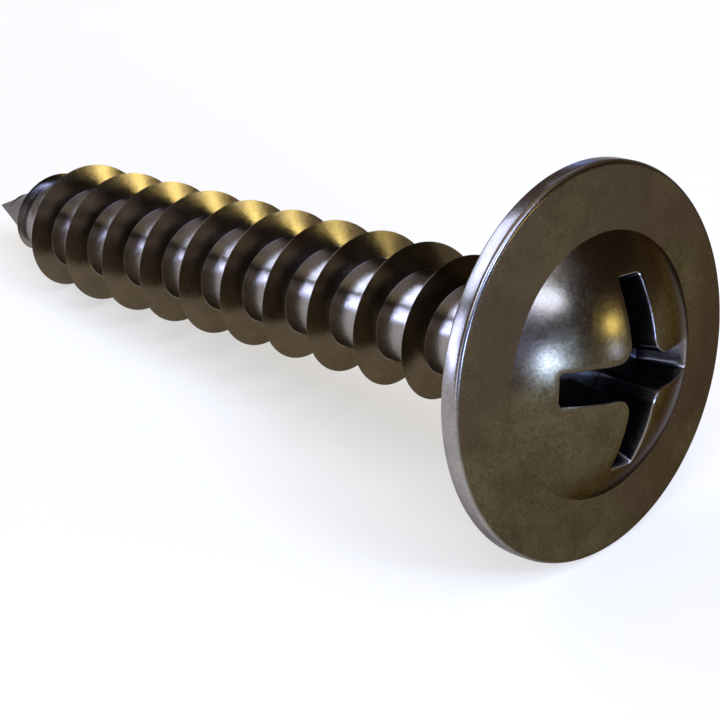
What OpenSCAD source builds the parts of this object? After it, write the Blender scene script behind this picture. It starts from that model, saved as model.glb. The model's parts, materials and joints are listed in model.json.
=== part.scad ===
// Washer head tapping screw with a cross recess, lying on its rim and thread.
// It is drawn upright, point down and bearing face at z = 0, then laid down.

/* [Washer head] */
// Diameter of the washer
washer_d = 12; // [9:0.1:16]
// Height of the washer's rim
rim_h = 0.63; // [0.5:0.01:1.2]
// Round on the front edge of the rim
front_round = 0.17; // [0.05:0.01:0.3]
// Round on the back edge of the rim
back_round = 0.08; // [0.02:0.01:0.15]
// Rise of the washer's front face from the rim to the dome
face_rise = 0.19; // [0.05:0.01:0.6]
// Diameter of the dome where it meets the washer
dome_d = 8; // [7:0.1:8.6]
// Height of the dome above the washer
dome_h = 1.58; // [1.2:0.01:2.4]

/* [Cross recess] */
// Length of the cross where it meets the dome
recess_l = 5.76; // [4.4:0.01:6.2]
// Width of a wing where its end meets the dome
recess_w = 0.95; // [0.6:0.01:1.2]
// Metal left between the recess and the bearing face
recess_web = 0.3; // [0.2:0.01:0.8]
// Slope of the wings' ends from the screw's axis
recess_slope = 26; // [10:1:32]
// Radius of the four inner corners at the dome
recess_corner = 0.55; // [0.1:0.01:0.8]
// Radius of the corners at the wings' ends
recess_end_round = 0.12; // [0.02:0.01:0.2]
// Turn of the cross about the screw's axis
recess_turn = -9.6; // [-45:0.1:45]

/* [Shank] */
// Length under the head
shank_l = 29; // [18:0.5:60]
// Diameter of the core between the turns of the thread
core_d = 3.09; // [2.6:0.01:3.4]
// How much thicker the plain neck is than the core
neck_extra_d = 0.3; // [0.1:0.01:0.6]
// Length of the plain neck
neck_l = 2.3; // [2.1:0.1:6]
// Fillet between the neck and the bearing face
neck_fillet = 0.5; // [0.1:0.05:0.6]
// Length of the cone where the neck runs down to the core
neck_lead = 0.25; // [0.1:0.05:0.5]

/* [Thread] */
// Diameter over the thread
thread_d = 4.8; // [4:0.1:6]
// Distance from one turn to the next
pitch = 2.09; // [1.4:0.01:2.8]
// Hand of the thread
thread_hand = "left"; // [left, right]
// Slope of the flank on the head's side
head_flank = 12; // [8:1:30]
// Slope of the flank on the point's side
point_flank = 30; // [15:1:35]
// Angle of the crest about the axis at the bearing face
thread_turn = 31.2; // [0:0.1:360]
// Length over which the thread runs out below the neck
runout_l = 2; // [1:0.1:5]

/* [Point] */
// Length of the core's conical point
point_l = 3.95; // [3:0.05:8]
// Distance from the tip at which the thread starts
thread_start = 1.1; // [0.6:0.05:2]
// Distance from the tip at which the thread reaches its full diameter
thread_full = 4.9; // [4.2:0.05:9]
// Softness of the bend between the thread's taper and its full diameter
taper_round = 0.5; // [0.1:0.05:0.6]

/* [Hidden] */
$fn = 96;
// Steps in one turn of the thread
steps = 60;
// How far a cut or a joined piece runs past a surface
past = 0.2;
// Step at the neck's lower edge, where the core's lead enters it
neck_step = 0.02;

washer_r = washer_d / 2;
dome_r = dome_d / 2;
dome_foot = rim_h + face_rise;
head_h = dome_foot + dome_h;
ball_r = (dome_r * dome_r + dome_h * dome_h) / (2 * dome_h);
ball_z = head_h - ball_r;
core_r = core_d / 2;
neck_r = core_r + neck_extra_d / 2;
crest_r = thread_d / 2;
hand = thread_hand == "left" ? -1 : 1;

// The recess is drawn where its wings' ends meet the dome
recess_rim_z = ball_z + sqrt(ball_r * ball_r - recess_l * recess_l / 4);
recess_top_z = head_h + past;
recess_grow = tan(recess_slope);
recess_rim_r = recess_l / 2;
recess_floor_scale = (recess_rim_r - (recess_rim_z - recess_web) * recess_grow) / recess_rim_r;
recess_top_scale = (recess_rim_r + (recess_top_z - recess_rim_z) * recess_grow) / recess_rim_r;

// Core radius at a distance up from the tip
function core_at(s) = min(core_r, core_r * s / point_l);

// Crest radius at a distance up from the tip: a cone that eases into the full radius
crest_foot = core_at(thread_start);
function crest_line(s) = crest_foot + (crest_r - crest_foot) * (s - thread_start) / (thread_full - thread_start);
function crest_at(s) =
    let (a = crest_line(s), b = crest_r + taper_round - a)
    abs(a - crest_r) < taper_round ? crest_r - b * b / (4 * taper_round) : min(a, crest_r);

// Steps from the first point of the thread to its last
last = floor((shank_l - thread_start - neck_l - neck_lead) / pitch * steps);
function step_z(m) = thread_start - shank_l + pitch * m / steps;
end_z = step_z(last);
function ridge_h(m) =
    let (s = step_z(m) + shank_l, full = crest_at(s) - core_at(s))
    max(0, full) * min(1, (end_z - step_z(m)) / runout_l);
function turn_at(z) = thread_turn + hand * 360 * z / pitch;
function on_turn(m, r, z) = [r * cos(turn_at(step_z(m))), r * sin(turn_at(step_z(m))), z];

// Each step has a foot on the point's side, a crest and a foot on the head's side
function foot_z(m) = step_z(m) - ridge_h(m) * tan(point_flank);
function back_z(m) = step_z(m) + ridge_h(m) * tan(head_flank);
function section(m) = [
    on_turn(m, core_at(foot_z(m) + shank_l), foot_z(m)),
    on_turn(m, core_at(step_z(m) + shank_l) + ridge_h(m), step_z(m)),
    on_turn(m, core_at(back_z(m) + shank_l), back_z(m))
];

// The core between two turns has one more point where it crosses the bend above the cone
bend_z = point_l - shank_l;
bent = ceil((point_l - thread_start) / pitch * steps);
function bend_point(m) =
    let (a = back_z(m), b = foot_z(m + steps), z = min(max(bend_z, a + (b - a) / 10), b - (b - a) / 10))
    on_turn(m, core_at(z + shank_l), z);

// Above the thread the core has a ring, a lead and a stub inside the neck
neck_foot_z = -neck_l;
neck_edge_z = neck_lead - neck_l;
stub_z = neck_edge_z / 2;
stub_r = neck_r - neck_step;
tip_i = 0;
start_i = 1;
end_i = 2;
first_i = 3;
bend_0 = first_i + 3 * (last - 1);
ring_0 = bend_0 + bent;
function foot_i(m) = m == 0 ? start_i : m == last ? end_i : first_i + 3 * (m - 1);
function crest_i(m) = m == 0 ? start_i : m == last ? end_i : first_i + 3 * (m - 1) + 1;
function back_i(m) = m == 0 ? start_i : m == last ? end_i : first_i + 3 * (m - 1) + 2;
function bend_i(m) = m < bent ? bend_0 + m : back_i(m);
function ring_i(j, k) = ring_0 + steps * j + k % steps;
function ring(r, z) = [for (k = [0:steps - 1]) on_turn(last + k, r, z)];

thread_points = concat(
    [[0, 0, -shank_l], on_turn(0, crest_foot, step_z(0)), on_turn(last, core_r, end_z)],
    [for (m = [1:last - 1]) each section(m)],
    [for (m = [0:bent - 1]) bend_point(m)],
    ring(core_r, neck_foot_z),
    ring(stub_r, neck_edge_z),
    ring(stub_r, stub_z)
);
base = last - steps;
thread_faces = concat(
    // cone from the tip to the first turn
    [for (m = [0:steps - 2]) [tip_i, foot_i(m), foot_i(m + 1)]],
    [[tip_i, foot_i(steps - 1), start_i], [start_i, foot_i(steps - 1), bend_i(0)]],
    [[bend_i(0), foot_i(steps - 1), foot_i(steps)]],
    // flank on the point's side
    [[start_i, crest_i(1), foot_i(1)]],
    [for (m = [1:last - 2]) each [[foot_i(m), crest_i(m), crest_i(m + 1)], [foot_i(m), crest_i(m + 1), foot_i(m + 1)]]],
    [[foot_i(last - 1), crest_i(last - 1), end_i]],
    // flank on the head's side
    [[start_i, back_i(1), crest_i(1)]],
    [for (m = [1:last - 2]) each [[crest_i(m), back_i(m), back_i(m + 1)], [crest_i(m), back_i(m + 1), crest_i(m + 1)]]],
    [[crest_i(last - 1), back_i(last - 1), end_i]],
    // core between two turns, below and above the bend
    [for (m = [0:bent - 2]) each [[back_i(m), bend_i(m), bend_i(m + 1)], [back_i(m), bend_i(m + 1), back_i(m + 1)]]],
    [[back_i(bent - 1), bend_i(bent - 1), bend_i(bent)]],
    [for (m = [0:base - 1]) each [
        [bend_i(m), foot_i(m + steps), foot_i(m + steps + 1)],
        [bend_i(m), foot_i(m + steps + 1), bend_i(m + 1)]
    ]],
    // core from the last turn up to the first ring
    [[back_i(base + 1), ring_i(0, 0), ring_i(0, 1)], [back_i(base + 1), end_i, ring_i(0, 0)]],
    [[back_i(base + 1), back_i(base), end_i]],
    [for (k = [1:steps - 1]) each [
        [back_i(base + k), ring_i(0, k), ring_i(0, k + 1)],
        [back_i(base + k), ring_i(0, k + 1), back_i(base + k + 1)]
    ]],
    // lead and stub
    [for (j = [0:1], k = [0:steps - 1]) [ring_i(j, k), ring_i(j + 1, k), ring_i(j + 1, k + 1), ring_i(j, k + 1)]],
    [[for (k = [0:steps - 1]) ring_i(2, steps - 1 - k)]]
);

// How the screw lies: on the back edge of the rim and on one crest near the point
function lean(z, r) =
    let (a = back_round - z, b = washer_r - back_round - r)
    atan2(b, a) + asin(back_round / sqrt(a * a + b * b));
under = [for (k = [-200:200]) let (z = pitch * (k - (thread_turn + 90) / 360 * hand))
    if (z < end_z - runout_l && z > thread_start - shank_l) z];
tilt = min([for (z = under) lean(z, crest_at(z + shank_l))]);
lift = back_round + (washer_r - back_round) * cos(tilt) - back_round * sin(tilt);
reach_back = shank_l * cos(tilt);
reach_front = ball_r + ball_z * cos(tilt);

module thread() {
    polyhedron(thread_points, hand > 0 ? thread_faces : [for (f = thread_faces) [for (k = [len(f) - 1:-1:0]) f[k]]]);
}

// Points along an arc, from angle g to angle h
function arc(o, r, g, h, n) = [for (k = [0:n]) o + r * [cos(g + (h - g) * k / n), sin(g + (h - g) * k / n)]];

module washer_and_neck() {
    rotate_extrude() polygon(concat(
        [[0, dome_foot], [0, neck_edge_z], [neck_r, neck_edge_z]],
        arc([neck_r + neck_fillet, -neck_fillet], neck_fillet, 180, 90, 8),
        arc([washer_r - back_round, back_round], back_round, -90, 0, 4),
        arc([washer_r - front_round, rim_h - front_round], front_round, 0, 90, 6),
        [[dome_r - past, dome_foot + past * face_rise / (washer_r - front_round - dome_r)]]
    ));
}

module dome() {
    intersection() {
        translate([0, 0, ball_z]) sphere(ball_r);
        translate([0, 0, rim_h]) cylinder(h = head_h, r = washer_r);
    }
}

// Corner of a polygon with a round: b is the corner, a and c are its neighbours
function rounded(a, b, c, r, n) =
    let (
        u = (a - b) / norm(a - b), v = (c - b) / norm(c - b),
        half = acos(u * v) / 2, mid = (u + v) / norm(u + v),
        o = b + mid * r / sin(half), s = cross(u, v) > 0 ? 1 : -1,
        p = b + u * r / tan(half) - o
    )
    [for (k = [0:n]) let (g = -s * (180 - 2 * half) * k / n)
        o + [p.x * cos(g) - p.y * sin(g), p.x * sin(g) + p.y * cos(g)]];

module cross_outline() {
    w = recess_w / 2;
    inner = recess_corner * recess_rim_r / (recess_rim_r + (head_h - recess_rim_z) * recess_grow);
    tip = recess_rim_r;
    polygon([for (k = [0:3]) each [for (p = concat(
        rounded([w, -w], [tip, -w], [tip, w], recess_end_round, 3),
        rounded([tip, -w], [tip, w], [w, w], recess_end_round, 3),
        rounded([tip, w], [w, w], [w, tip], inner, 6)
    )) [p.x * cos(90 * k) - p.y * sin(90 * k), p.x * sin(90 * k) + p.y * cos(90 * k)]]]);
}

module recess() {
    rotate(recess_turn) translate([0, 0, recess_web])
        linear_extrude(height = recess_top_z - recess_web, scale = recess_top_scale / recess_floor_scale)
            scale([recess_floor_scale, recess_floor_scale]) cross_outline();
}

module lie_down() {
    translate([(reach_back - reach_front) / 2, 0, lift]) rotate([0, 90 - tilt, 0]) rotate(90) children();
}

module screw() {
    color([0.36, 0.33, 0.26]) lie_down() difference() {
        union() {
            washer_and_neck();
            dome();
            thread();
        }
        recess();
    }
}

screw();
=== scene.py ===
import json
import math

import bmesh
import bpy
from mathutils import Matrix, Vector


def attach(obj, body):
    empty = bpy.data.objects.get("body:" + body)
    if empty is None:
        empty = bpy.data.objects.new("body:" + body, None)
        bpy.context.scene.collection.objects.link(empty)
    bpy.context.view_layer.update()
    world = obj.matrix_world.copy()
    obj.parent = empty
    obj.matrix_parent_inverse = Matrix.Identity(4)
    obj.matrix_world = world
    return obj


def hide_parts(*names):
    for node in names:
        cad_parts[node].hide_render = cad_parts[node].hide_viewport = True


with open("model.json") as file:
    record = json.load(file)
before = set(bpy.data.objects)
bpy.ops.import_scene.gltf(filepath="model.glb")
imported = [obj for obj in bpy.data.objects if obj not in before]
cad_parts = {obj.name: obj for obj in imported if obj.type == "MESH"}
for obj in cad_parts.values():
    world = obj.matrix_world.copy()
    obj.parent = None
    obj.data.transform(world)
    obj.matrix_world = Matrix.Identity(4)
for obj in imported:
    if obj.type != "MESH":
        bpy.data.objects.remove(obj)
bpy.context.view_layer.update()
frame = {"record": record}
print("frame loaded")

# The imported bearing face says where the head's underside is and which way the screw points
bearing = [mount for mount in frame["record"]["mounts"] if mount["name"] == "bearing_face"][0]
headward = -Vector(bearing["axis"]).normalized()
sideways = Vector((0, 1, 0))
turned = Matrix((sideways, headward.cross(sideways), headward)).transposed()
lying = Matrix.Translation(bearing["pos_m"]) @ turned.to_4x4() @ Matrix.Scale(0.001, 4)

# Everything on the screw is in millimetres, upright, with the bearing face at height 0
head = {
    "washerAcross": 12.0,
    "rimHeight": 0.63,
    "frontRound": 0.17,
    "backRound": 0.08,
    "faceRise": 0.19,     # the washer's face climbs this much to the dome
    "domeAcross": 8.0,
    "domeHeight": 1.58,
    "recessLength": 5.76,
    "recessWidth": 0.95,
    "recessFloor": 0.3,
    "recessSlope": 26,    # degrees, the wings' ends from the axis
    "recessTurn": -9.6,   # degrees
    "innerRound": 0.55,
    "endRound": 0.12,
    "mouthBevel": 0.065,
    "floorBevel": 0.05,
    "mouthMargin": 0.2,   # width of the first ring of faces round the mouth
    "innerSteps": 18,
    "endSteps": 3,
    "straightCuts": 7,
    "wallRings": (0.35, 0.75, 1.0),
    "domeRings": (0.12, 0.25, 0.4, 0.55, 0.7, 0.85, 1.0),
    "faceRings": (0.3, 0.65),
    "frontSteps": 8,
    "backSteps": 5,
    "bevelSteps": 3,
}

shank = {
    "length": 29.0,
    "coreAcross": 3.09,
    "neckAcross": 3.39,
    "neckLength": 2.3,
    "neckFillet": 0.5,
    "neckLead": 0.25,
    "pointLength": 3.95,
    "tipFlat": 0.03,
    "filletSteps": 8,
}

thread = {
    "across": 4.8,
    "pitch": 2.09,
    "hand": -1,                       # left-hand
    "headFlank": 12,                  # degrees
    "pointFlank": 30,                 # degrees
    "turnAtHead": 31.2,               # degrees, the crest's angle at the bearing face
    "runout": 2.0,
    "start": 1.1,                     # from the tip
    "full": 4.9,                      # from the tip
    "taperRound": 0.5,
    "crestFlat": 0.012,
    "turns": 15,
    "stepsPerTurn": 192,
    "flankRings": (0, 0.35, 0.7, 1),  # shares of the ridge's height
    "seamWidth": 0.01,                # the groove's middle, which stays where it is
    "seamWeld": 0.002,                # joins each turn to the next
    "ridgeWeld": 0.0001,              # closes the ridge where its height is nothing
    "cutSlack": 0.0005,
}

sharpFrom = 28  # degrees between faces

washerR = head["washerAcross"] / 2
domeR = head["domeAcross"] / 2
domeFoot = head["rimHeight"] + head["faceRise"]
headTop = domeFoot + head["domeHeight"]
ballR = (domeR ** 2 + head["domeHeight"] ** 2) / (2 * head["domeHeight"])
ballZ = headTop - ballR
coreR = shank["coreAcross"] / 2
neckR = shank["neckAcross"] / 2
crestR = thread["across"] / 2


def onBall(x, y):
    return Vector((x, y, ballZ + math.sqrt(ballR ** 2 - x ** 2 - y ** 2)))


# The recess widens upwards, so its outline at a height is the same cross, scaled
mouthEndZ = onBall(head["recessLength"] / 2, 0).z


def mouthGrowth(z):
    return 1 + (z - mouthEndZ) * math.tan(math.radians(head["recessSlope"])) / (head["recessLength"] / 2)


# The outline's height on the dome and its scale depend on each other, and settle in a few rounds
def atMouth(point):
    place = onBall(point.x, point.y)
    for _ in range(12):
        place = onBall(*(mouthGrowth(place.z) * point.xy))
    return place


def crossOutline(bm):
    halfWidth = head["recessWidth"] / 2
    halfLength = head["recessLength"] / 2
    corners = []
    for quarter in range(4):
        turn = Matrix.Rotation(math.radians(90 * quarter + head["recessTurn"]), 3, "Z")
        for x, y in ((halfLength, -halfWidth), (halfLength, halfWidth), (halfWidth, halfWidth)):
            corners.append(bm.verts.new(turn @ Vector((x, y, 0))))
    bm.faces.new(corners)
    inner = [corner for number, corner in enumerate(corners) if number % 3 == 2]
    outer = [corner for number, corner in enumerate(corners) if number % 3 != 2]
    innerRound = head["innerRound"] / mouthGrowth(headTop)
    rounds = ((inner, innerRound, head["innerSteps"]), (outer, head["endRound"], head["endSteps"]))
    for points, size, steps in rounds:
        bmesh.ops.bevel(bm, geom=points, offset=size, segments=steps, profile=0.5,
                        affect="VERTICES", material=-1)
    straight = [e for e in bm.edges if e.calc_length() > halfWidth]
    bmesh.ops.subdivide_edges(bm, edges=straight, cuts=head["straightCuts"])
    bmesh.ops.delete(bm, geom=list(bm.faces), context="FACES_ONLY")

    # the order starts just before the first wing's middle, so that vertex is always the first
    start = math.radians(head["recessTurn"]) - 1e-4
    return sorted(bm.verts, key=lambda v: (math.atan2(v.co.y, v.co.x) - start) % (2 * math.pi))


def ringEdges(bm, ring):
    return [bm.edges.get(pair) for pair in zip(ring, ring[1:] + ring[:1])]


def growRing(bm, ring, places):
    grown = bmesh.ops.extrude_edge_only(bm, edges=ringEdges(bm, ring))["geom"]
    fresh = {item for item in grown if isinstance(item, bmesh.types.BMVert)}
    moved = []
    for old, place in zip(ring, places):
        new = next(e.other_vert(old) for e in old.link_edges if e.other_vert(old) in fresh)
        new.co = place
        moved.append(new)
    return moved


def arcPoints(centreR, centreZ, radius, fromDegrees, toDegrees, count):
    angles = [math.radians(fromDegrees + (toDegrees - fromDegrees) * k / count) for k in range(count + 1)]
    return [(centreR + radius * math.cos(a), centreZ + radius * math.sin(a)) for a in angles]


def makeHead(bm):
    outline = crossOutline(bm)
    flat = [v.co.copy() for v in outline]
    for v in outline:
        v.co = atMouth(v.co)
    count = len(outline)
    angles = [math.radians(head["recessTurn"] + 360 * k / count) for k in range(count)]

    # walls and floor of the recess
    ring = outline
    for share in head["wallRings"]:
        places = []
        for start, v in zip(flat, outline):
            z = v.co.z + (head["recessFloor"] - v.co.z) * share
            places.append((start * mouthGrowth(z)).xy.to_3d() + Vector((0, 0, z)))
        ring = growRing(bm, ring, places)
    floorRing = ring
    bm.faces.new(floorRing)

    # dome, from a margin round the mouth out to its foot
    margin = []
    for before, v, after in zip(outline[-1:] + outline[:-1], outline, outline[1:] + outline[:1]):
        along = (after.co - before.co).xy.normalized()
        margin.append(v.co.xy + head["mouthMargin"] * Vector((along.y, -along.x)))
    ring = growRing(bm, outline, [onBall(*p) for p in margin])
    for share in head["domeRings"]:
        places = []
        for p, a in zip(margin, angles):
            q = p.lerp(domeR * Vector((math.cos(a), math.sin(a))), share)
            places.append(onBall(*q))
        ring = growRing(bm, ring, places)

    # washer, underside and neck
    front, back, fillet = head["frontRound"], head["backRound"], shank["neckFillet"]
    faceEdge = washerR - front
    filletR = neckR + fillet
    steps = []
    for share in head["faceRings"]:
        steps.append((domeR + (faceEdge - domeR) * share, domeFoot - head["faceRise"] * share))
    steps += arcPoints(faceEdge, head["rimHeight"] - front, front, 90, 0, head["frontSteps"])
    steps += arcPoints(washerR - back, back, back, 0, -90, head["backSteps"])
    steps.append(((washerR + filletR) / 2, 0))
    steps += arcPoints(filletR, -fillet, fillet, 90, 180, shank["filletSteps"])
    steps.append((neckR, shank["neckLead"] - shank["neckLength"]))
    for r, z in steps:
        ring = growRing(bm, ring, [Vector((r * math.cos(a), r * math.sin(a), z)) for a in angles])

    for loop, size in ((floorRing, head["floorBevel"]), (outline, head["mouthBevel"])):
        bmesh.ops.bevel(bm, geom=ringEdges(bm, loop), offset=size, offset_type="OFFSET",
                        segments=head["bevelSteps"], profile=0.5, affect="EDGES",
                        clamp_overlap=True, material=-1)


def coreAt(fromTip):
    return min(coreR, coreR * fromTip / shank["pointLength"])


def crestAt(fromTip):
    foot = coreAt(thread["start"])
    line = foot + (crestR - foot) * (fromTip - thread["start"]) / (thread["full"] - thread["start"])
    soft = thread["taperRound"]
    if abs(line - crestR) < soft:
        return crestR - (crestR + soft - line) ** 2 / (4 * soft)
    return min(line, crestR)


def ridgeAt(z):
    fromTip = z + shank["length"]
    if fromTip <= thread["start"]:
        return 0
    endZ = -shank["neckLength"] - shank["neckLead"]
    fade = min(1, max(0, (endZ - z) / thread["runout"]))
    return max(0, crestAt(fromTip) - coreAt(fromTip)) * fade


def makeThread(bm):
    fullRidge = crestR - coreR
    pitch = thread["pitch"]
    pointSide = fullRidge * math.tan(math.radians(thread["pointFlank"]))
    headSide = fullRidge * math.tan(math.radians(thread["headFlank"]))
    flat = thread["crestFlat"] / 2
    section = [(-pitch / 2, 0)]
    section += [(-flat - (pointSide - flat) * (1 - up), up) for up in thread["flankRings"]]
    section += [(flat + (headSide - flat) * (1 - up), up) for up in reversed(thread["flankRings"])]
    section += [(pitch / 2, 0)]

    # one pitch of the section, carried round one turn and then repeated up the shank
    along = bm.verts.layers.float.new("along")
    up = bm.verts.layers.float.new("up")
    firstZ = -pitch * thread["turns"]
    line = []
    for offset, share in section:
        v = bm.verts.new((coreR + fullRidge * share, 0, firstZ + offset))
        v[along] = offset
        v[up] = share
        line.append(v)
    geometry = line + [bm.edges.new(pair) for pair in zip(line, line[1:])]
    bmesh.ops.rotate(bm, verts=line, cent=(0, 0, 0),
                     matrix=Matrix.Rotation(math.radians(thread["turnAtHead"]), 3, "Z"))
    steps = thread["stepsPerTurn"]
    bmesh.ops.spin(bm, geom=geometry, cent=(0, 0, 0), axis=(0, 0, 1), dvec=(0, 0, pitch / steps),
                   angle=thread["hand"] * 2 * math.pi, steps=steps, use_merge=False)
    oneTurn = list(bm.verts) + list(bm.edges) + list(bm.faces)
    for turn in range(1, thread["turns"]):
        copied = bmesh.ops.duplicate(bm, geom=oneTurn)["geom"]
        bmesh.ops.translate(bm, verts=[v for v in copied if isinstance(v, bmesh.types.BMVert)],
                            vec=(0, 0, pitch * turn))
    bmesh.ops.remove_doubles(bm, verts=bm.verts, dist=thread["seamWeld"])

    # the ridge starts near the tip, grows, and runs out below the neck
    for v in bm.verts:
        if abs(v[along]) < pitch / 2 - thread["seamWidth"]:
            crestZ = v.co.z - v[along]
            ridge = ridgeAt(crestZ)
            v.co.z = crestZ + v[along] * ridge / fullRidge
            v.co.xy = v.co.xy.normalized() * (coreR + v[up] * ridge)
    bmesh.ops.remove_doubles(bm, verts=bm.verts, dist=thread["ridgeWeld"])

    # cut off the end of the tip and all above the neck's foot, and keep a ring where the point begins
    tipZ = -shank["length"]
    bendZ = tipZ + shank["pointLength"]
    cuts = ((tipZ + shank["tipFlat"], "below"), (bendZ, "keep"), (-shank["neckLength"], "above"))
    for z, drop in cuts:
        everything = list(bm.verts) + list(bm.edges) + list(bm.faces)
        bmesh.ops.bisect_plane(bm, geom=everything, dist=thread["cutSlack"], plane_co=(0, 0, z),
                               plane_no=(0, 0, 1), clear_inner=drop == "below", clear_outer=drop == "above")

    # the core narrows to the tip and draws the ridge in with it
    for v in bm.verts:
        r = v.co.xy.length + coreAt(v.co.z - tipZ) - coreR
        v.co.xy = v.co.xy.normalized() * r
    tipEdges = [e for e in bm.edges if e.is_boundary and e.verts[0].co.z < bendZ]
    bmesh.ops.holes_fill(bm, edges=tipEdges, sides=0)


def makeScrew():
    mesh = bpy.data.meshes.new("screwMesh")
    headBm = bmesh.new()
    makeHead(headBm)
    headBm.to_mesh(mesh)
    headBm.free()
    print("head made", len(mesh.polygons))

    bm = bmesh.new()
    makeThread(bm)
    print("thread made", len(bm.faces))
    bm.from_mesh(mesh)
    bmesh.ops.bridge_loops(bm, edges=[e for e in bm.edges if e.is_boundary])
    bmesh.ops.recalc_face_normals(bm, faces=bm.faces)
    bmesh.ops.transform(bm, matrix=lying, verts=bm.verts)
    for face in bm.faces:
        face.smooth = True
    loose = len([e for e in bm.edges if not e.is_manifold])
    print("screw joined", len(bm.faces), "open edges", loose, "volume", bm.calc_volume() * 1e9)
    bm.to_mesh(mesh)
    bm.free()
    mesh.set_sharp_from_angle(angle=math.radians(sharpFrom))
    screw = bpy.data.objects.new("washerHeadScrew", mesh)
    bpy.context.scene.collection.objects.link(screw)
    return screw


screw = makeScrew()
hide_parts("screw")
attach(screw, "root")
print("screw placed")


def linear(colour):
    parts = [int(colour[k:k + 2], 16) / 255 for k in (1, 3, 5)]
    return [c / 12.92 if c <= 0.04045 else ((c + 0.055) / 1.055) ** 2.4 for c in parts] + [1]


def addNode(tree, kind, links=None, **settings):
    node = tree.nodes.new(kind)
    for name, value in settings.items():
        setattr(node, name, value)
    for socket, value in (links or {}).items():
        if isinstance(value, bpy.types.NodeSocket):
            tree.links.new(value, node.inputs[socket])
        else:
            node.inputs[socket].default_value = value
    return node


def setStops(ramp, stops):
    elements = ramp.color_ramp.elements
    for _ in range(len(stops) - len(elements)):
        elements.new(0.5)
    for element, (position, colour) in zip(elements, stops):
        element.position = position
        element.color = linear(colour)


# Cold-headed and rolled steel with a bronze passivation film: a dark olive-brown metal whose film
# is cloudy from patch to patch and finely fibrous, so highlights are clear but soft at their edges.
# The film is thin on the rolled flanks and dark grey in the recess. The core, the rim's edge and the
# recess's mouth get a lighter, bare-looking tone that is partly painted highlight, so they catch brighter
# highlights.
bronze = {
    "body": "#504732",
    "pale": "#5d533b",
    "dark": "#423928",
    "ruddy": "#45382f",
    "thin": "#665a48",
    # lighter metal, partly painted highlight, on the core, the rim's edge and the recess's mouth
    "bareAndPaintedHighlight": "#918c87",
    "punched": "#605f5e",
    "edge": "#a8a5a6",            # at grazing angles
    "roughness": (0.17, 0.25),
    "shade": (0.76, 1.24),        # the clouds' effect where the film is thin
    "patch": 1.3,                 # mm, clouds in the film
    "patchSpan": (0.36, 0.64),
    "fibre": 0.18,                # mm, the fine grain of the film
    "fibreSpan": (0.36, 0.66),
    "fibreShare": 0.6,
    "tint": 4.5,                  # mm, where the film turns from olive to brown
    "tintSpan": (0.42, 0.62),
    "tintShare": 0.65,
    "grainHeight": 0.0005,        # mm
    "neckFade": (-0.4, -2.4),     # mm from the bearing face, down the neck
    "headFrom": (0.15, 0.27),     # mm above the bearing face
    "rimHighlightSkin": (0.09, 0.02),      # mm inside the rim
    "coreHighlightSkin": (0.03, 0.006),    # mm outside the core
    "mouthHighlightSkin": (0.008, 0.03),   # mm inside the dome
    "mouthHighlightShare": 0.8,
    "recessSkin": (0.05, 0.11),   # mm inside the dome
}


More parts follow.
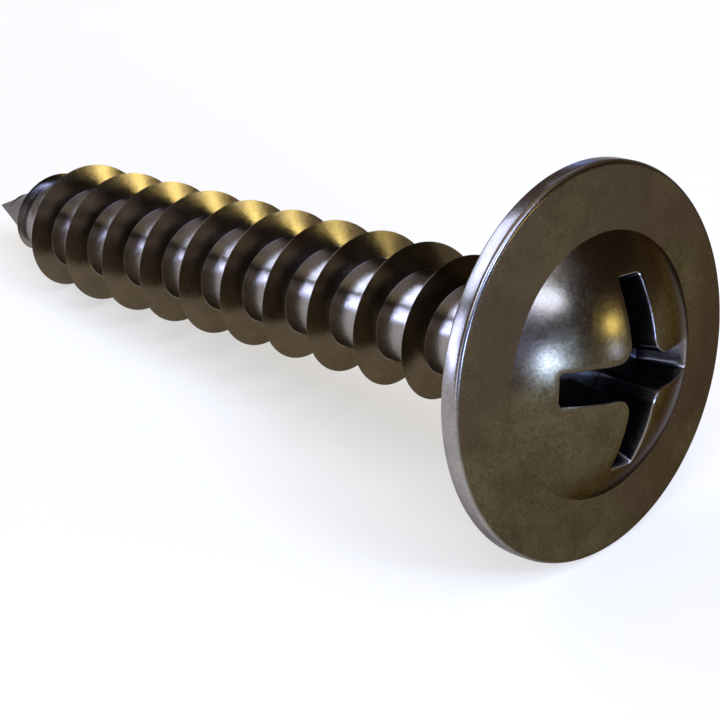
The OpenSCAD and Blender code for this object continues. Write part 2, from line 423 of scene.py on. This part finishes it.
def bronzedSteel():
    material = bpy.data.materials.new("bronzedSteel")
    material.use_nodes = True
    tree = material.node_tree
    shader = tree.nodes["Principled BSDF"]
    shader.inputs["Metallic"].default_value = 1.0
    shader.inputs["Specular Tint"].default_value = linear(bronze["edge"])

    def spread(value, low, high, start=0.0, end=1.0):
        return addNode(tree, "ShaderNodeMapRange", {
            "Value": value, "From Min": low, "From Max": high, "To Min": start, "To Max": end}).outputs[0]

    def combine(operation, first, second):
        return addNode(tree, "ShaderNodeMath", operation=operation, links={0: first, 1: second}).outputs[0]

    def mixColour(share, under, over):
        return addNode(tree, "ShaderNodeMix", data_type="RGBA", links={
            0: share, 6: under, 7: over}).outputs[2]

    # the pattern stands on the screw, in millimetres from the bearing face
    onScrew = addNode(tree, "ShaderNodeMapping", {
        "Vector": addNode(tree, "ShaderNodeTexCoord").outputs["Object"],
        "Location": lying.inverted().translation,
        "Rotation": turned.transposed().to_euler(),
        "Scale": (1000, 1000, 1000)}).outputs[0]
    cloud = addNode(tree, "ShaderNodeTexNoise", {
        "Vector": onScrew, "Scale": 1 / bronze["patch"], "Detail": 4.0, "Roughness": 0.6,
        "Distortion": 0.4}).outputs[0]
    fibre = addNode(tree, "ShaderNodeTexNoise", {
        "Vector": onScrew, "Scale": 1 / bronze["fibre"], "Detail": 3.0, "Roughness": 0.7,
        "Distortion": 2.2}).outputs[0]
    wide = addNode(tree, "ShaderNodeTexNoise", {
        "Vector": onScrew, "Scale": 1 / bronze["tint"], "Detail": 1.0}).outputs[0]

    # the full film's colour: cloudy and grainy, with ruddy parts
    cloudy = spread(cloud, *bronze["patchSpan"])
    grain = spread(fibre, *bronze["fibreSpan"])
    film = addNode(tree, "ShaderNodeMix", data_type="FLOAT", links={
        0: bronze["fibreShare"], 2: cloudy, 3: grain}).outputs[0]
    ramp = addNode(tree, "ShaderNodeValToRGB", {"Fac": film})
    setStops(ramp, ((0.1, bronze["dark"]), (0.5, bronze["body"]), (0.9, bronze["pale"])))
    ruddy = spread(wide, *bronze["tintSpan"], 0.0, bronze["tintShare"])
    colour = mixColour(ruddy, ramp.outputs[0], linear(bronze["ruddy"]))

    # how far each point is from the axis and from the ball that the dome is part of
    level = addNode(tree, "ShaderNodeSeparateXYZ", {0: onScrew}).outputs["Z"]
    across = addNode(tree, "ShaderNodeVectorMath", operation="MULTIPLY", links={
        0: onScrew, 1: (1, 1, 0)}).outputs[0]
    fromAxis = addNode(tree, "ShaderNodeVectorMath", operation="LENGTH", links={0: across}).outputs["Value"]
    fromBall = addNode(tree, "ShaderNodeVectorMath", operation="DISTANCE", links={
        0: onScrew, 1: (0, 0, ballZ)}).outputs["Value"]

    # where the film is thin or dark grey, and the lighter tone of painted highlight on the core, the rim's
    # edge and the recess's mouth
    onShank = spread(level, *bronze["neckFade"])
    onHead = spread(level, *bronze["headFrom"])
    # painted highlight: lighter bands at the rim's edge, on the core and round the recess's mouth
    rimBareAndHighlight = spread(fromAxis, *[washerR - inside for inside in bronze["rimHighlightSkin"]])
    core = spread(fromAxis, *[coreR + outside for outside in bronze["coreHighlightSkin"]])
    coreBareAndHighlight = combine("MULTIPLY", core, onShank)
    mouth = spread(fromBall, *[ballR - inside for inside in bronze["mouthHighlightSkin"]], 0.0, bronze["mouthHighlightShare"])
    mouthBareAndHighlight = combine("MULTIPLY", mouth, onHead)
    bareAndPaintedHighlight = combine("MAXIMUM", combine("MAXIMUM", coreBareAndHighlight, rimBareAndHighlight), mouthBareAndHighlight)
    recess = spread(fromBall, *[ballR - inside for inside in bronze["recessSkin"]])
    punched = combine("MULTIPLY", recess, onHead)
    shade = spread(film, 0.0, 1.0, *bronze["shade"])
    for share, tone in ((onShank, bronze["thin"]), (bareAndPaintedHighlight, bronze["bareAndPaintedHighlight"]), (punched, bronze["punched"])):
        steel = addNode(tree, "ShaderNodeVectorMath", operation="SCALE", links={
            0: linear(tone)[:3], "Scale": shade}).outputs[0]
        colour = mixColour(share, colour, steel)
    tree.links.new(colour, shader.inputs["Base Color"])

    tree.links.new(spread(film, 0.0, 1.0, *bronze["roughness"]), shader.inputs["Roughness"])
    bump = addNode(tree, "ShaderNodeBump", {
        "Strength": 1.0, "Distance": 0.001 * bronze["grainHeight"], "Height": grain}).outputs[0]
    tree.links.new(bump, shader.inputs["Normal"])
    return material


screw.data.materials.append(bronzedSteel())
print("finish made")

studio = {
    "lens": 106.74,
    "shiftX": -0.01162,
    "shiftY": -0.08605,
    "elevation": 27.667,                  # degrees
    "azimuth": 44.663,                    # degrees
    "faceZ": 0.464,                       # mm, the camera is measured from this height on the axis
    "offset": (33.383, -43.094, 30.510),  # mm
    "clip": (0.001, 10),                  # m
}

# The surroundings run from the horizon's colour through dusk to the zenith's. Each lamp is a softbox
# seen from the screw: azimuth, elevation, width and height in degrees, then its strength beside the
# white floor, which is 1, and its colour. Most are bluish, so that they look white in the brown film.
light = {
    "distance": 0.5,      # m
    "aim": 0.006,         # m above the floor
    "floorHalf": 0.6,     # m
    "floor": "#f4ead0",
    "floorRoughness": 0.9,
    "floorPlain": "#ffffff",
    "floorShare": 0.55,
    "surroundings": ((0.14, "#b6aea4"), (0.3, "#746455"), (0.75, "#746455"), (1.0, "#ccb894")),
    "boxes": {
        "key": (-16.5, 11.5, 8, 8, 52, "#98b4ff"),
        "keySoft": (-15.5, 11, 17, 17, 25, "#8cacff"),
        "keyHalo": (-14, 12, 32, 24, 3.6, "#90b0ff"),
        "gold": (28, 14.5, 7, 7, 24, "#fffab8"),
        "goldSoft": (28, 14.5, 16, 14, 1.2, "#fff6b4"),
        "low": (25, 3.5, 6, 6, 26, "#a0b4ff"),
        "arcLeft": (-24, 38, 14, 9, 10, "#a0b8ff"),
        "arc": (-5, 42, 15, 9, 56, "#a2bcff"),
        "arcRight": (16, 53, 20, 8, 2, "#b0c4ff"),
        "overhead": (-30, 66, 56, 14, 8, "#bccdff"),
        "overSide": (-62, 46, 16, 22, 4, "#e4f0ff"),
        "sideLow": (-72, 12, 14, 24, 3.5, "#c0ccff"),
        "shankTop": (-172, 40, 30, 16, 6, "#ccd8ff"),
        "shankTopSide": (-150, 34, 16, 16, 5.5, "#ccd8ff"),
        "streak": (-165, 26, 30, 4, 3, "#c8f0ff"),
        "shankSide": (-137, 12, 12, 18, 7.5, "#c4d0ff"),
        "shankLow": (-129, 4, 8, 10, 12, "#b4c4ff"),
        "backTop": (128, 37, 26, 14, 1.2, "#b0bcdc"),
        "backSpot": (131, 5, 8, 8, 4, "#80a4ff"),
    },
}


def makeCamera():
    data = bpy.data.cameras.new("camera")
    data.lens = studio["lens"]
    data.shift_x = studio["shiftX"]
    data.shift_y = studio["shiftY"]
    data.clip_start, data.clip_end = studio["clip"]
    camera = bpy.data.objects.new("camera", data)
    camera.location = lying @ Vector((0, 0, studio["faceZ"])) + 0.001 * Vector(studio["offset"])
    camera.rotation_euler = (math.radians(90 - studio["elevation"]), 0, math.radians(studio["azimuth"]))
    bpy.context.scene.collection.objects.link(camera)
    bpy.context.scene.camera = camera


def makeFloor():
    mesh = bpy.data.meshes.new("floorMesh")
    bm = bmesh.new()
    bmesh.ops.create_grid(bm, x_segments=1, y_segments=1, size=light["floorHalf"])
    bm.to_mesh(mesh)
    bm.free()
    floor = bpy.data.objects.new("floor", mesh)
    bpy.context.scene.collection.objects.link(floor)
    material = bpy.data.materials.new("whiteFloor")
    material.use_nodes = True
    tree = material.node_tree
    paint = tree.nodes["Principled BSDF"]
    paint.inputs["Base Color"].default_value = linear(light["floor"])
    paint.inputs["Roughness"].default_value = light["floorRoughness"]
    paint.inputs["Specular IOR Level"].default_value = 0.0

    # seen by the camera and in the metal, the floor is partly its own plain white, so it stays
    # even and keeps a soft shadow; everything else gets only the light that the paint gives back
    rays = addNode(tree, "ShaderNodeLightPath").outputs
    seen = addNode(tree, "ShaderNodeMath", operation="ADD", links={
        0: rays["Is Camera Ray"], 1: rays["Is Glossy Ray"]})
    seen = addNode(tree, "ShaderNodeMath", operation="ADD", links={
        0: seen.outputs[0], 1: rays["Is Transmission Ray"]})
    share = addNode(tree, "ShaderNodeMath", operation="MULTIPLY", links={
        0: seen.outputs[0], 1: light["floorShare"]})
    plain = addNode(tree, "ShaderNodeEmission", {"Color": linear(light["floorPlain"]), "Strength": 1.0})
    both = addNode(tree, "ShaderNodeMixShader", {
        0: share.outputs[0], 1: paint.outputs[0], 2: plain.outputs[0]})
    tree.links.new(both.outputs[0], tree.nodes["Material Output"].inputs["Surface"])
    mesh.materials.append(material)


def makeWorld():
    world = bpy.data.worlds.new("studioWorld")
    world.use_nodes = True
    tree = world.node_tree
    way = addNode(tree, "ShaderNodeTexCoord").outputs["Generated"]
    upward = addNode(tree, "ShaderNodeSeparateXYZ", {0: way}).outputs["Z"]
    ramp = addNode(tree, "ShaderNodeValToRGB", {"Fac": upward})
    setStops(ramp, light["surroundings"])
    tree.links.new(ramp.outputs[0], tree.nodes["Background"].inputs["Color"])
    bpy.context.scene.world = world


def makeLamp(name, azimuth, elevation, width, height, strength, colour):
    data = bpy.data.lights.new(name, "AREA")
    data.shape = "ELLIPSE" if width == height else "RECTANGLE"
    reach = light["distance"]
    data.size = 2 * reach * math.tan(math.radians(width / 2))
    data.size_y = 2 * reach * math.tan(math.radians(height / 2))
    area = data.size * data.size_y * (math.pi / 4 if width == height else 1)
    data.energy = strength * math.pi * area
    data.color = linear(colour)[:3]
    lamp = bpy.data.objects.new(name, data)
    across, up = math.radians(azimuth), math.radians(elevation)
    away = Vector((math.cos(up) * math.cos(across), math.cos(up) * math.sin(across), math.sin(up)))
    lamp.location = reach * away + Vector((0, 0, light["aim"]))
    lamp.rotation_euler = away.to_track_quat("Z", "Y").to_euler()
    lamp.visible_camera = False
    bpy.context.scene.collection.objects.link(lamp)


makeCamera()
makeFloor()
makeWorld()
for name, values in light["boxes"].items():
    makeLamp(name, *values)
bpy.context.scene.view_settings.view_transform = "Standard"
print("studio made")
